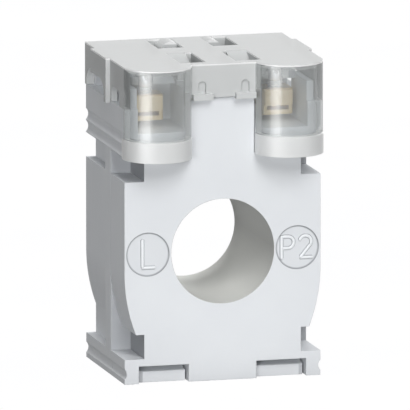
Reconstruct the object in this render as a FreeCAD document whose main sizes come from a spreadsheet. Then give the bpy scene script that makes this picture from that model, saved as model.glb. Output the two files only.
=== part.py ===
import FreeCAD, Part
import math
import operator
import os
import Sketcher
from types import SimpleNamespace
from FreeCAD import Rotation, Vector

# Window-type current transformer for a cable, with a hooded pair of screw terminals on top.
# The origin is the middle of the cable window: +X to the right, +Y to the rear, +Z up.
# Depths in the sheet are behind the front face.

doc = FreeCAD.newDocument("current_transformer")
sheet = doc.addObject("Spreadsheet::Sheet", "Sizes")

SIZES = [
    # Housing
    ("body_depth", 30.0, "front face to rear face"),
    ("bore_diameter", 21.0, "cable window"),
    ("bore_height", 25.9, "window centre above the base"),
    ("side_wall", 1.4, "case beside the round space for the core"),
    ("roof_wall", 0.9, "case above the round space for the core"),
    ("foot_height", 4.95, "top of the foot, where the lower notch starts"),
    ("lower_notch_height", 4.9, "height of the lower side notch"),
    ("upper_notch_height", 4.9, "height of the upper side notch, up to the deck"),
    ("front_notch", 4.0, "depth of the side notches in the front shell"),
    ("rear_notch", 2.0, "depth of the side notches in the rear shell"),
    ("flank_radius", 33.0, "long curve of the lower flank"),
    ("flank_tangent_height", 22.0, "where that curve meets the straight side"),
    ("flank_lip", 0.85, "height of the small bevel under the flank"),
    ("flank_bevel", 0.3, "width of that bevel"),
    ("parting_depth", 10.6, "joint between the front shell and the rear shell"),
    ("rib_depth", 4.4, "thickness of the straight rib beside the joint"),
    ("seam_gap", 0.15, "open joint between two mouldings"),
    ("shell_wall", 1.6, "front wall and rear wall"),
    ("collar_wall", 1.4, "tube round the window"),
    # Side grooves of the foot and the terminal block
    ("foot_groove_height", 1.0, "bottom of the groove in the foot"),
    ("foot_groove_width", 2.06, "width of the groove in the foot"),
    ("foot_groove_radius", 1.45, "round of the groove in the foot"),
    ("block_groove_start", 0.2, "first block groove above the deck"),
    ("block_groove_width", 2.2, "width of one block groove"),
    ("block_groove_land", 0.25, "land between the two block grooves"),
    ("block_groove_radius", 1.6, "round of a block groove"),
    # Snap tongues under the front wall
    ("window_inner", 6.9, "inner jamb of the tongue window, from the middle"),
    ("window_width", 10.2, "width of the tongue window"),
    ("window_height", 3.5, "height of the tongue window"),
    ("tongue_gap", 0.4, "gap beside the tongue"),
    ("tongue_height", 2.14, "thickness of the tongue at its end"),
    ("tongue_setback", 1.5, "tongue end behind the front face"),
    ("tongue_ramp", 4.0, "length of the slope on the tongue"),
    ("tongue_play", 0.15, "tongue under the upper edge of the window"),
    # Apron and marks on the front face
    ("apron_wall", 1.6, "thickness of the apron between the towers"),
    ("mark_diameter", 8.7, "round recess of a mark, midway between the window and the side"),
    ("mark_depth", 0.25, "depth of a mark recess"),
    # Terminal block
    ("block_height", 9.7, "deck to the shelf that the hood stands on"),
    ("floor_thickness", 4.7, "block under the terminal chambers"),
    ("rim_rise", 3.9, "inner rim above the shelf"),
    ("rim_front", 0.7, "rim behind the front face"),
    ("rim_play", 0.3, "rim inside the hood, on each side"),
    ("rim_wall", 1.4, "side walls and rear wall of the rim"),
    ("spine_rise", 2.7, "middle spine above the shelf"),
    ("spine_pocket_depth", 4.0, "coring pocket in the spine"),
    ("partition_wall", 1.2, "wall behind a terminal"),
    ("partition_rise", 4.9, "that wall above the shelf"),
    ("partition_round", 2.3, "top corners of that wall"),
    ("guide_room", 1.7, "room for the cage to rise under the screw guide"),
    ("guide_thickness", 1.6, "thickness of the screw guide"),
    ("guide_lip", 1.1, "guide in front of the screw axis"),
    # Terminals
    ("terminal_inset", 0.15, "screw axis inward of the tower axis"),
    ("terminal_depth", 10.4, "screw axis behind the front face"),
    ("cage_width", 6.2, "brass cage, across and along the wire"),
    ("cage_height", 5.1, "brass cage"),
    ("cage_lift", 1.3, "cage above the chamber floor at rest"),
    ("cage_wall", 0.9, "wall of the cage"),
    ("cage_round", 0.45, "rounded upright edges of the cage"),
    ("bar_width", 4.0, "contact bar"),
    ("bar_thickness", 1.3, "contact bar"),
    ("bar_bend", 0.5, "inside bend of the bar"),
    ("bar_leg_gap", 0.3, "leg of the bar behind the cage"),
    ("bar_leg_reach", 2.8, "leg below the deck"),
    ("bar_slot_gap", 0.1, "slot round the leg"),
    ("guard_width", 5.6, "wire guard at the front end of the bar"),
    ("guard_thickness", 0.55, "wire guard"),
    ("guard_gap", 0.2, "guard in front of the cage"),
    ("guard_drop", 0.15, "upper edge of the guard below the cage top"),
    ("leg_play", 0.2, "leg in front of the wall behind the terminal"),
    ("screw_head_diameter", 3.6, "terminal screw head"),
    ("screw_head_height", 2.6, "height of the head"),
    ("screw_head_drop", 0.3, "underside of the head below the guide"),
    ("screw_diameter", 3.0, "terminal screw shank"),
    ("screw_bevel", 0.3, "bevel of the head and the tip"),
    ("screw_slot_width", 0.7, "driver slot"),
    ("screw_slot_depth", 1.2, "driver slot"),
    ("running_gap", 0.06, "between a turning screw and what holds it"),
    ("tip_gap", 0.1, "screw tip above the contact bar"),
    # Clear hood
    ("hood_height", 8.5, "top face of the hood above the shelf"),
    ("hood_overhang", 0.2, "hood side beyond the housing side"),
    ("hood_wall", 1.2, "walls and top plate of the hood"),
    ("hood_gap", 0.2, "play between the hood and the block"),
    ("tower_radius", 6.8, "half-round tower in front of a terminal"),
    ("tower_drop", 0.2, "open lower end of a tower below the deck"),
    ("tower_band_height", 4.0, "proud band at the foot of a tower"),
    ("tower_band", 0.15, "how far the band stands proud"),
    ("bridge_rise", 1.8, "lower edge of the bridge between the towers, above the shelf"),
    ("bridge_proud", 0.8, "bridge in front of the front face"),
    ("catch_inner", 2.3, "inner end of a catch ledge, from the middle"),
    ("catch_drop", 0.4, "catch ledge below the bridge"),
    ("catch_height", 1.2, "height of the catch ledges"),
    ("catch_proud", 1.0, "ledge in front of the bridge"),
    ("arch_offset", 4.4, "arched recess from the middle"),
    ("arch_width", 1.6, "arched recess"),
    ("arch_height", 2.5, "crown of the arched recess above the ledge"),
    ("arch_depth", 0.5, "depth of the arched recess"),
    ("side_slot_front", 3.1, "front end of the front side slot"),
    ("side_slot_length", 6.15, "length of the front side slot"),
    ("side_slot_height", 3.2, "height of the front side slot"),
    ("side_arch_front", 12.2, "front end of the rear side arch"),
    ("side_arch_length", 16.6, "length of the rear side arch"),
    ("side_arch_height", 3.8, "height of the rear side arch"),
    ("grip_front", 10.6, "front edge of the grip panel"),
    ("grip_length", 11.8, "length of the grip panel"),
    ("grip_proud", 0.85, "grip panel proud of the hood side"),
    ("grip_drop", 0.4, "grip panel below the hood side"),
    ("well_inner", 3.0, "inner side of a top well, from the middle"),
    ("well_width", 5.2, "width of a top well"),
    ("front_well_start", 1.6, "front edge of the front wells"),
    ("front_well_length", 11.4, "length of the front wells"),
    ("rear_well_start", 18.7, "front edge of the rear wells"),
    ("well_skirt", 3.2, "depth of the walls round a well"),
    ("well_wall", 0.8, "thickness of those walls"),
    ("latch_slit", 1.15, "slit beside the sloping latch"),
    ("latch_angle", 25.0, "slope of the latch"),
    ("latch_length", 9.6, "length of the sloping latch"),
    ("latch_thickness", 1.0, "thickness of the sloping latch"),
    ("lug_offset", 4.2, "round-topped lug from the middle"),
    ("lug_radius", 2.4, "round top of the lug"),
    ("lug_start", 24.0, "front face of the lug"),
    ("lug_rise", 0.2, "lug above the hood top"),
    ("lug_play", 0.3, "lower end of the lug above the rim"),
    # Wound core
    ("core_build", 3.3, "steel core from its inner to its outer round"),
    ("cup_wall", 0.5, "insulating cup and lid round the core"),
    ("winding_thickness", 0.8, "copper layer"),
    ("winding_slack", 0.1, "copper inside the cup and under the tape"),
    ("wrap_thickness", 0.2, "tape over the winding"),
    ("wrap_start", 8.0, "front edge of the tape"),
    ("wrap_width", 6.4, "width of the tape"),
    ("coil_gap", 0.3, "round the wound core, against the shells"),
    ("pad_thickness", 1.0, "foam pads at both ends"),
    ("pad_width", 4.0, "foam pads across"),
    ("bundle_count", 30, "bundles of turns round the core"),
    ("bundle_width", 2.3, "width of one bundle"),
    ("lead_diameter", 1.0, "lead from the winding to the contact bar"),
    ("lead_end", 1.0, "end of the lead above the deck"),
    ("roof_pocket_width", 5.2, "wiring pocket in the roof of the rear shell"),
    ("roof_pocket_room", 0.8, "wiring pocket round the leg and the lead"),
]


class Size:
    """A length that carries its number and the sheet formula that gives it."""

    def __init__(self, value, formula):
        self.value = value
        self.formula = formula

    def __add__(self, other):
        return combine(self, "+", other)

    def __radd__(self, other):
        return combine(other, "+", self)

    def __sub__(self, other):
        return combine(self, "-", other)

    def __rsub__(self, other):
        return combine(other, "-", self)

    def __mul__(self, other):
        return combine(self, "*", other)

    def __rmul__(self, other):
        return combine(other, "*", self)

    def __truediv__(self, other):
        return combine(self, "/", other)

    def __rtruediv__(self, other):
        return combine(other, "/", self)

    def __neg__(self):
        return combine(0, "-", self)


OPERATIONS = {"+": operator.add, "-": operator.sub, "*": operator.mul, "/": operator.truediv}


def as_size(number):
    """A plain number as a Size, and a Size as it is."""
    return number if isinstance(number, Size) else Size(float(number), repr(float(number)))


def combine(left, sign, right):
    left = as_size(left)
    right = as_size(right)
    value = OPERATIONS[sign](left.value, right.value)
    return Size(value, f"({left.formula} {sign} {right.formula})")


def root(size):
    return Size(math.sqrt(size.value), f"sqrt({size.formula})")


def fill_sheet(rows):
    """Write the sheet and give back its sizes by name."""
    sizes = SimpleNamespace()
    for row, (alias, number, note) in enumerate(rows, start=1):
        sheet.set(f"A{row}", alias)
        sheet.set(f"B{row}", str(number))
        sheet.set(f"C{row}", note)
        sheet.setAlias(f"B{row}", alias)
        setattr(sizes, alias, Size(float(number), f"Sizes.{alias}"))
    doc.recompute()
    return sizes


def bind(thing, prop, size):
    """Tie a property to the sheet."""
    thing.setExpression(prop, as_size(size).formula)


s = fill_sheet(SIZES)

# The wound core, from the window outwards
BORE_RADIUS = s.bore_diameter / 2
COLLAR_RADIUS = BORE_RADIUS + s.collar_wall
WINDING_INNER = COLLAR_RADIUS + s.coil_gap
CUP_INNER = WINDING_INNER + s.winding_thickness
CORE_INNER = CUP_INNER + s.cup_wall
CORE_OUTER = CORE_INNER + s.core_build
CUP_OUTER = CORE_OUTER + s.cup_wall
WRAP_INNER = CUP_OUTER + s.winding_thickness
CAVITY_RADIUS = WRAP_INNER + s.wrap_thickness + s.coil_gap

# The housing round it
SIDE = CAVITY_RADIUS + s.side_wall
FRONT = -(s.body_depth / 2)
REAR = s.body_depth / 2
PARTING = FRONT + s.parting_depth
BASE = -s.bore_height
DECK = CAVITY_RADIUS + s.roof_wall
SHELF = DECK + s.block_height
FLOOR = DECK + s.floor_thickness
RIM_TOP = SHELF + s.rim_rise
SPINE_TOP = SHELF + s.spine_rise

# The wound core, from front to rear
WINDING_START = FRONT + s.shell_wall + s.pad_thickness
WINDING_END = REAR - s.shell_wall - s.pad_thickness
CUP_START = WINDING_START + s.winding_thickness
CUP_END = WINDING_END - s.winding_thickness

# The hood and what lines up with it
HOOD_SIDE = SIDE + s.hood_overhang
HOOD_TOP = SHELF + s.hood_height
HOOD_SEAT = SHELF + s.hood_gap / 2
TOWER_X = HOOD_SIDE - s.tower_radius
TOWER_INNER = TOWER_X - s.tower_radius
TOWER_FOOT = DECK - s.tower_drop
BRIDGE_FACE = FRONT - s.bridge_proud
BRIDGE_BOTTOM = SHELF + s.bridge_rise
CATCH_BOTTOM = BRIDGE_BOTTOM - s.catch_drop
CATCH_TOP = CATCH_BOTTOM + s.catch_height
APRON_SIDE = TOWER_INNER - s.hood_gap
APRON_TOP = BRIDGE_BOTTOM - s.hood_gap
RIM_SIDE = HOOD_SIDE - s.hood_wall - s.rim_play
RIM_REAR = REAR - s.hood_wall - s.hood_gap
CHAMBER_SIDE = RIM_SIDE - s.rim_wall
FRONT_WELL = (FRONT + s.front_well_start, FRONT + s.front_well_start + s.front_well_length)
REAR_WELL = (FRONT + s.rear_well_start, REAR - s.hood_wall)

# The terminals
TERMINAL_X = TOWER_X - s.terminal_inset
TERMINAL_Y = FRONT + s.terminal_depth
CAGE_BOTTOM = FLOOR + s.cage_lift
CAGE_TOP = CAGE_BOTTOM + s.cage_height
GUIDE_BOTTOM = CAGE_TOP + s.guide_room
GUIDE_TOP = GUIDE_BOTTOM + s.guide_thickness
BAR_TOP = (CAGE_BOTTOM + CAGE_TOP + s.bar_thickness) / 2
LEG_FRONT = TERMINAL_Y + s.cage_width / 2 + s.bar_leg_gap
LEG_REAR = LEG_FRONT + s.bar_thickness
PARTITION_FRONT = LEG_REAR + s.leg_play
LEAD_Y = LEG_REAR + s.lead_diameter / 2
LEAD_X = TERMINAL_X - s.lead_diameter / 2
LEAD_START = root(WRAP_INNER * WRAP_INNER - LEAD_X * LEAD_X)


# Bodies, sketches and features

def new_body(label):
    body = doc.addObject("PartDesign::Body", label)
    body.Label = label
    return body


def sketch_on(body, role, offset):
    """An empty sketch on one of the body's own planes, moved along its normal."""
    sketch = body.newObject("Sketcher::SketchObject", "Sketch")
    own_plane = [plane for plane in body.Origin.OriginFeatures if plane.Role == role][0]
    sketch.AttachmentSupport = (own_plane, [""])
    sketch.MapMode = "FlatFace"
    bind(sketch, "AttachmentOffset.Base.z", offset)
    return sketch


def facing(body, y):
    """A sketch seen from the front, at a depth: its x is X and its y is Z."""
    return sketch_on(body, "XZ_Plane", -as_size(y))


def lying(body, z):
    """A sketch seen from above, at a height: its x is X and its y is Y."""
    return sketch_on(body, "XY_Plane", z)


def hold_point(sketch, geometry, end, x, y):
    """Fix one point of a sketch to two sizes."""
    for kind, size in (("DistanceX", x), ("DistanceY", y)):
        size = as_size(size)
        index = sketch.addConstraint(Sketcher.Constraint(kind, -1, 1, geometry, end, size.value))
        bind(sketch, f"Constraints[{index}]", size)


def circle(sketch, x, y, radius):
    x, y, radius = as_size(x), as_size(y), as_size(radius)
    index = sketch.addGeometry(Part.Circle(Vector(x.value, y.value, 0), Vector(0, 0, 1), radius.value))
    hold_point(sketch, index, 3, x, y)
    held = sketch.addConstraint(Sketcher.Constraint("Radius", index, radius.value))
    bind(sketch, f"Constraints[{held}]", radius)


def arc_between(start, end, radius):
    """The short arc from start to end. A positive radius has its centre on the left of the way."""
    chord = end - start
    left = Vector(-chord.y, chord.x, 0).normalize()
    reach = math.sqrt(radius ** 2 - (chord.Length / 2) ** 2)
    side = 1 if radius > 0 else -1
    centre = (start + end) / 2 + left * (reach * side)
    begin = math.atan2(start.y - centre.y, start.x - centre.x)
    finish = math.atan2(end.y - centre.y, end.x - centre.x)
    whole = Part.Circle(centre, Vector(0, 0, 1), abs(radius))
    if side > 0:
        return Part.ArcOfCircle(whole, begin, finish if finish > begin else finish + 2 * math.pi)
    return Part.ArcOfCircle(whole, finish, begin if begin > finish else begin + 2 * math.pi)


def outline(sketch, corners):
    """A closed outline. A corner is (x, y), or (x, y, radius) where an arc leads on from it."""
    points = [Vector(as_size(corner[0]).value, as_size(corner[1]).value, 0) for corner in corners]
    ends = []
    for number, corner in enumerate(corners):
        start = points[number]
        end = points[(number + 1) % len(points)]
        if len(corner) == 3:
            radius = as_size(corner[2])
            index = sketch.addGeometry(arc_between(start, end, radius.value))
            held = sketch.addConstraint(Sketcher.Constraint("Radius", index, abs(radius.value)))
            bind(sketch, f"Constraints[{held}]", radius if radius.value > 0 else -radius)
            ends.append((index, 1, 2) if radius.value > 0 else (index, 2, 1))
        else:
            index = sketch.addGeometry(Part.LineSegment(start, end))
            ends.append((index, 1, 2))
    for number, (index, first, last) in enumerate(ends):
        following = ends[(number + 1) % len(ends)]
        sketch.addConstraint(Sketcher.Constraint("Coincident", index, last, following[0], following[1]))
        hold_point(sketch, index, first, corners[number][0], corners[number][1])


def rectangle(sketch, x0, x1, y0, y1):
    outline(sketch, [(x0, y0), (x1, y0), (x1, y1), (x0, y1)])


def pad(body, sketch, length, backwards=False):
    feature = body.newObject("PartDesign::Pad", "Pad")
    feature.Profile = sketch
    feature.Reversed = backwards
    bind(feature, "Length", length)
    return feature


def pocket(body, sketch, length, backwards=False):
    feature = body.newObject("PartDesign::Pocket", "Pocket")
    feature.Profile = sketch
    feature.Reversed = backwards
    bind(feature, "Length", length)
    return feature


# Primitives and booleans

def box(x0, x1, y0, y1, z0, z1):
    solid = doc.addObject("Part::Box", "Box")
    for prop, low, high, base in (("Length", x0, x1, "x"), ("Width", y0, y1, "y"), ("Height", z0, z1, "z")):
        bind(solid, prop, as_size(high) - low)
        bind(solid, f"Placement.Base.{base}", low)
    return solid


def post(x, y, z0, z1, radius):
    """An upright cylinder."""
    solid = doc.addObject("Part::Cylinder", "Post")
    bind(solid, "Radius", radius)
    bind(solid, "Height", as_size(z1) - z0)
    bind(solid, "Placement.Base.x", x)
    bind(solid, "Placement.Base.y", y)
    bind(solid, "Placement.Base.z", z0)
    return solid


def drum(x, z, y0, y1, radius):
    """A cylinder that lies from front to rear."""
    solid = doc.addObject("Part::Cylinder", "Drum")
    solid.Placement.Rotation = Rotation(Vector(1, 0, 0), -90)
    bind(solid, "Radius", radius)
    bind(solid, "Height", as_size(y1) - y0)
    bind(solid, "Placement.Base.x", x)
    bind(solid, "Placement.Base.y", y0)
    bind(solid, "Placement.Base.z", z)
    return solid


def fuse(parts, label="Fuse"):
    joined = doc.addObject("Part::MultiFuse", label)
    joined.Shapes = parts
    joined.Refine = True
    joined.Label = label
    return joined


def cut(base, tools, label="Cut"):
    """The base less each of the tools in turn."""
    for number, tool in enumerate(tools, start=1):
        left = doc.addObject("Part::Cut", label if number == len(tools) else "Cut")
        left.Base = base
        left.Tool = tool
        left.Refine = True
        base = left
    base.Label = label
    return base


def both_sides(make):
    """What make gives for the left side and for the right side."""
    return [make(side) for side in (-1, 1)]


def span(side, inner, outer):
    """The two X limits of something between two distances from the middle, low one first."""
    return (-as_size(outer), -as_size(inner)) if side < 0 else (as_size(inner), as_size(outer))


# Housing outlines

def foot_corners():
    """Right side of the foot: up from the base, past the groove, to the top of the foot."""
    groove = BASE + s.foot_groove_height
    return [
        (SIDE, BASE),
        (SIDE, groove, -s.foot_groove_radius),
        (SIDE, groove + s.foot_groove_width),
        (SIDE, BASE + s.foot_height),
    ]


def flank_corners(lower_notch, upper_notch):
    """Right side from the lower notch, up the curved flank, to the deck."""
    notch_top = BASE + s.foot_height + s.lower_notch_height
    tangent = BASE + s.flank_tangent_height
    curve_foot = notch_top + s.flank_lip
    fall = tangent - curve_foot
    flank = SIDE - s.flank_radius + root(s.flank_radius * s.flank_radius - fall * fall)
    neck = SIDE - lower_notch
    corners = [(neck, BASE + s.foot_height)]
    if neck.value < (flank - s.flank_bevel).value:
        corners += [(neck, notch_top), (flank - s.flank_bevel, notch_top),
                    (flank, curve_foot, s.flank_radius)]
    else:
        corners += [(neck, notch_top), (flank, curve_foot, s.flank_radius)]
    shoulder = DECK - s.upper_notch_height
    corners += [(SIDE, tangent), (SIDE, shoulder), (SIDE - upper_notch, shoulder), (SIDE - upper_notch, DECK)]
    return corners


def mirrored(corners):
    """The right side of an outline, and the same corners on the left on the way back down."""
    left = []
    for number in range(len(corners) - 1, -1, -1):
        x, z = corners[number][:2]
        before = corners[number - 1]
        radius = before[2:] if number > 0 and len(before) == 3 else ()
        left.append((-x, z) + radius)
    return corners + left


# Housing

def make_front_shell():
    """Front wall, front half of the sides, the tube round the window and the apron."""
    body = new_body("front_shell")
    face = facing(body, FRONT)
    outline(face, mirrored(foot_corners() + flank_corners(s.front_notch, s.front_notch)))
    pad(body, face, s.parting_depth, backwards=True)
    tube = facing(body, FRONT)
    circle(tube, 0, 0, COLLAR_RADIUS)
    pad(body, tube, s.body_depth, backwards=True)
    cavity = facing(body, PARTING)
    circle(cavity, 0, 0, CAVITY_RADIUS)
    circle(cavity, 0, 0, COLLAR_RADIUS)
    pocket(body, cavity, s.parting_depth - s.shell_wall, backwards=True)
    window = facing(body, FRONT)
    circle(window, 0, 0, BORE_RADIUS)
    pocket(body, window, s.body_depth)
    tongue_windows = facing(body, FRONT)
    for side in (-1, 1):
        x0, x1 = span(side, s.window_inner, s.window_inner + s.window_width)
        rectangle(tongue_windows, x0, x1, BASE, BASE + s.window_height)
    pocket(body, tongue_windows, s.parting_depth)
    apron = facing(body, FRONT)
    rectangle(apron, -APRON_SIDE, APRON_SIDE, DECK, APRON_TOP)
    pad(body, apron, s.apron_wall, backwards=True)
    marks = facing(body, FRONT)
    for side in (-1, 1):
        circle(marks, side * (BORE_RADIUS + SIDE) / 2, 0, s.mark_diameter / 2)
    pocket(body, marks, s.mark_depth)
    return body


def make_rear_shell():
    """Straight rib beside the joint, rear half of the sides, rear wall and the snap tongues."""
    body = new_body("rear_shell")
    joint = PARTING + s.seam_gap
    rib = facing(body, joint)
    outline(rib, mirrored(foot_corners() + [(SIDE, DECK)]))
    pad(body, rib, s.rib_depth - s.seam_gap, backwards=True)
    rear = facing(body, PARTING + s.rib_depth)
    outline(rear, mirrored(foot_corners() + flank_corners(s.rear_notch, s.rear_notch)))
    pad(body, rear, s.body_depth - s.parting_depth - s.rib_depth, backwards=True)
    cavity = facing(body, joint)
    circle(cavity, 0, 0, CAVITY_RADIUS)
    pocket(body, cavity, s.body_depth - s.parting_depth - s.seam_gap - s.shell_wall)
    tube_hole = facing(body, joint)
    circle(tube_hole, 0, 0, COLLAR_RADIUS + s.seam_gap)
    pocket(body, tube_hole, s.body_depth - s.parting_depth)
    tip = FRONT + s.tongue_setback
    back = BASE + s.window_height - s.tongue_play
    for side in (-1, 1):
        x0, x1 = span(side, s.window_inner + s.tongue_gap, s.window_inner + s.window_width - s.tongue_gap)
        tongue = sketch_on(body, "YZ_Plane", x0)
        outline(tongue, [(tip, BASE), (joint, BASE), (joint, back), (tip + s.tongue_ramp, back),
                         (tip, BASE + s.tongue_height)])
        pad(body, tongue, x1 - x0)
    roof = lying(body, DECK)
    for side in (-1, 1):
        middle = side * TERMINAL_X
        half = s.roof_pocket_width / 2
        rectangle(roof, middle - half, middle + half,
                  LEG_FRONT - s.roof_pocket_room, LEAD_Y + s.roof_pocket_room)
    pocket(body, roof, DECK - LEAD_START + s.roof_pocket_room)
    return body


def block_corners():
    """Right side of the terminal block: two half-round grooves above the deck, then plain."""
    first = DECK + s.block_groove_start
    second = first + s.block_groove_width + s.block_groove_land
    return [
        (SIDE, DECK),
        (SIDE, first, -s.block_groove_radius),
        (SIDE, first + s.block_groove_width),
        (SIDE, second, -s.block_groove_radius),
        (SIDE, second + s.block_groove_width),
        (SIDE, SHELF),
    ]


def make_terminal_block():
    """Block on the two shells: terminal chambers open to the front, wiring recesses behind them.
    The rim stands open behind the side arches of the hood."""
    body = new_body("terminal_block")
    profile = facing(body, FRONT)
    outline(profile, mirrored(block_corners()))
    pad(body, profile, s.body_depth, backwards=True)
    rim = lying(body, SHELF)
    rectangle(rim, -RIM_SIDE, RIM_SIDE, FRONT + s.rim_front, RIM_REAR)
    pad(body, rim, s.rim_rise)
    spine = lying(body, RIM_TOP)
    rectangle(spine, -TOWER_INNER, TOWER_INNER, FRONT, REAR)
    pocket(body, spine, s.rim_rise - s.spine_rise)
    hollows = lying(body, RIM_TOP)
    for side in (-1, 1):
        x0, x1 = span(side, TOWER_INNER, CHAMBER_SIDE)
        rectangle(hollows, x0, x1, FRONT, PARTITION_FRONT)
        rectangle(hollows, x0, x1, PARTITION_FRONT + s.partition_wall, RIM_REAR - s.rim_wall)
    pocket(body, hollows, RIM_TOP - FLOOR)
    exits = lying(body, RIM_TOP)
    for side in (-1, 1):
        x0, x1 = span(side, CHAMBER_SIDE, RIM_SIDE)
        rectangle(exits, x0, x1, FRONT + s.side_arch_front, RIM_REAR - s.rim_wall)
    pocket(body, exits, s.rim_rise)
    partitions = facing(body, PARTITION_FRONT)
    for side in (-1, 1):
        x0, x1 = span(side, TOWER_INNER, CHAMBER_SIDE)
        top = SHELF + s.partition_rise
        curve = s.partition_round
        outline(partitions, [(x0, FLOOR), (x1, FLOOR), (x1, top - curve, curve), (x1 - curve, top),
                             (x0 + curve, top, curve), (x0, top - curve)])
    pad(body, partitions, s.partition_wall, backwards=True)
    guides = lying(body, GUIDE_BOTTOM)
    for side in (-1, 1):
        x0, x1 = span(side, TOWER_INNER, CHAMBER_SIDE)
        rectangle(guides, x0, x1, TERMINAL_Y - s.guide_lip, PARTITION_FRONT)
    pad(body, guides, s.guide_thickness)
    seats = lying(body, GUIDE_TOP)
    for side in (-1, 1):
        circle(seats, side * TERMINAL_X, TERMINAL_Y, s.screw_head_diameter / 2 + s.running_gap)
    pocket(body, seats, s.guide_thickness)
    slots = lying(body, FLOOR)
    for side in (-1, 1):
        middle = side * TERMINAL_X
        half = s.bar_width / 2 + s.bar_slot_gap
        rectangle(slots, middle - half, middle + half, LEG_FRONT - s.bar_slot_gap,
                  LEG_REAR + s.lead_diameter + s.bar_slot_gap)
    pocket(body, slots, s.floor_thickness)
    apron_seat = facing(body, FRONT)
    half = APRON_SIDE + s.seam_gap
    rectangle(apron_seat, -half, half, DECK, SPINE_TOP)
    pocket(body, apron_seat, s.apron_wall + s.seam_gap)
    cores = lying(body, SPINE_TOP)
    for side in (-1, 1):
        x0, x1 = span(side, s.well_inner, TOWER_INNER - s.well_wall)
        for front, rear in (FRONT_WELL, REAR_WELL):
            rectangle(cores, x0, x1, front + s.well_wall, rear - s.well_wall)
    pocket(body, cores, s.spine_pocket_depth)
    return body


# Clear hood

def slot_through(x0, x1, y0, y1, z0, z1, curve):
    """A cutter across a side wall, with rounded top corners."""
    parts = [box(x0, x1, y0, y1, z0, z1 - curve), box(x0, x1, y0 + curve, y1 - curve, z0, z1)]
    for y in (y0 + curve, y1 - curve):
        corner = doc.addObject("Part::Cylinder", "Corner")
        corner.Placement.Rotation = Rotation(Vector(0, 1, 0), 90)
        bind(corner, "Radius", curve)
        bind(corner, "Height", as_size(x1) - x0)
        bind(corner, "Placement.Base.x", x0)
        bind(corner, "Placement.Base.y", y)
        bind(corner, "Placement.Base.z", z1 - curve)
        parts.append(corner)
    return fuse(parts)


def tower_pair(radius, bottom, top):
    return both_sides(lambda side: post(side * TOWER_X, FRONT, bottom, top, radius))


def hood_shell():
    """Outer form of the hood less its inside."""
    bridge_side = TOWER_INNER + s.hood_wall
    band = s.tower_radius + s.tower_band
    towers = tower_pair(s.tower_radius, TOWER_FOOT, HOOD_TOP)
    bands = tower_pair(band, TOWER_FOOT, TOWER_FOOT + s.tower_band_height)
    main = box(-HOOD_SIDE, HOOD_SIDE, FRONT, REAR, HOOD_SEAT, HOOD_TOP)
    bridge = box(-bridge_side, bridge_side, BRIDGE_FACE, FRONT, BRIDGE_BOTTOM, HOOD_TOP)
    catches = both_sides(lambda side: box(*span(side, s.catch_inner, APRON_SIDE), BRIDGE_FACE - s.catch_proud,
                                          FRONT - s.hood_gap, CATCH_BOTTOM, CATCH_TOP))
    outside = fuse([main, bridge] + towers + bands + catches)
    behind_towers = box(-HOOD_SIDE, HOOD_SIDE, FRONT - s.hood_gap, FRONT + band, TOWER_FOOT, HOOD_SEAT)
    tower_rooms = tower_pair(s.tower_radius - s.hood_wall, TOWER_FOOT, HOOD_TOP - s.hood_wall)
    room_side = HOOD_SIDE - s.hood_wall
    room_front = FRONT + s.rim_front - s.hood_gap
    room = box(-room_side, room_side, room_front, REAR - s.hood_wall, HOOD_SEAT, HOOD_TOP - s.hood_wall)
    above_apron = box(-bridge_side, bridge_side, FRONT - s.hood_gap, FRONT + s.rim_front,
                      HOOD_SEAT, SPINE_TOP + s.hood_gap)
    return cut(outside, [behind_towers] + tower_rooms + [room, above_apron])


def arch_cutter(side):
    """Shallow arched recess in the bridge, above a catch ledge."""
    half = s.arch_width / 2
    middle = side * s.arch_offset
    inside = BRIDGE_FACE + s.arch_depth
    spring = CATCH_TOP + s.arch_height - half
    return fuse([box(middle - half, middle + half, BRIDGE_FACE, inside, CATCH_TOP, spring),
                 drum(middle, spring, BRIDGE_FACE, inside, half)])


def side_cutters(side):
    """The front slot and the rear arch in one side wall of the hood."""
    x0, x1 = span(side, HOOD_SIDE - s.hood_wall, HOOD_SIDE + s.grip_proud)
    slot_start = FRONT + s.side_slot_front
    arch_start = FRONT + s.side_arch_front
    sill = SHELF - s.grip_drop
    return [slot_through(x0, x1, slot_start, slot_start + s.side_slot_length,
                         sill, SHELF + s.side_slot_height, s.side_slot_height / 2),
            slot_through(x0, x1, arch_start, arch_start + s.side_arch_length,
                         sill, SHELF + s.side_arch_height, s.side_arch_height * 3 / 4)]


def sloping_latch(side):
    """A latch that falls forward from the rear wall of a front well."""
    x0, x1 = span(side, s.well_inner + s.latch_slit, s.well_inner + s.well_width)
    latch = doc.addObject("Part::Box", "Latch")
    latch.Placement.Rotation = Rotation(Vector(1, 0, 0), 1)
    bind(latch, "Placement.Rotation.Angle", 180 + s.latch_angle)
    bind(latch, "Length", x1 - x0)
    bind(latch, "Width", s.latch_length)
    bind(latch, "Height", s.latch_thickness)
    bind(latch, "Placement.Base.x", x0)
    bind(latch, "Placement.Base.y", FRONT_WELL[1])
    bind(latch, "Placement.Base.z", HOOD_TOP)
    return latch


def rear_lug(side):
    """A round-topped lug in a rear well."""
    x = side * s.lug_offset
    y0 = FRONT + s.lug_start
    z = HOOD_TOP + s.lug_rise - s.lug_radius
    return [drum(x, z, y0, REAR_WELL[1], s.lug_radius),
            box(x - s.lug_radius, x + s.lug_radius, y0, REAR_WELL[1], RIM_TOP + s.lug_play, z)]


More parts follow.
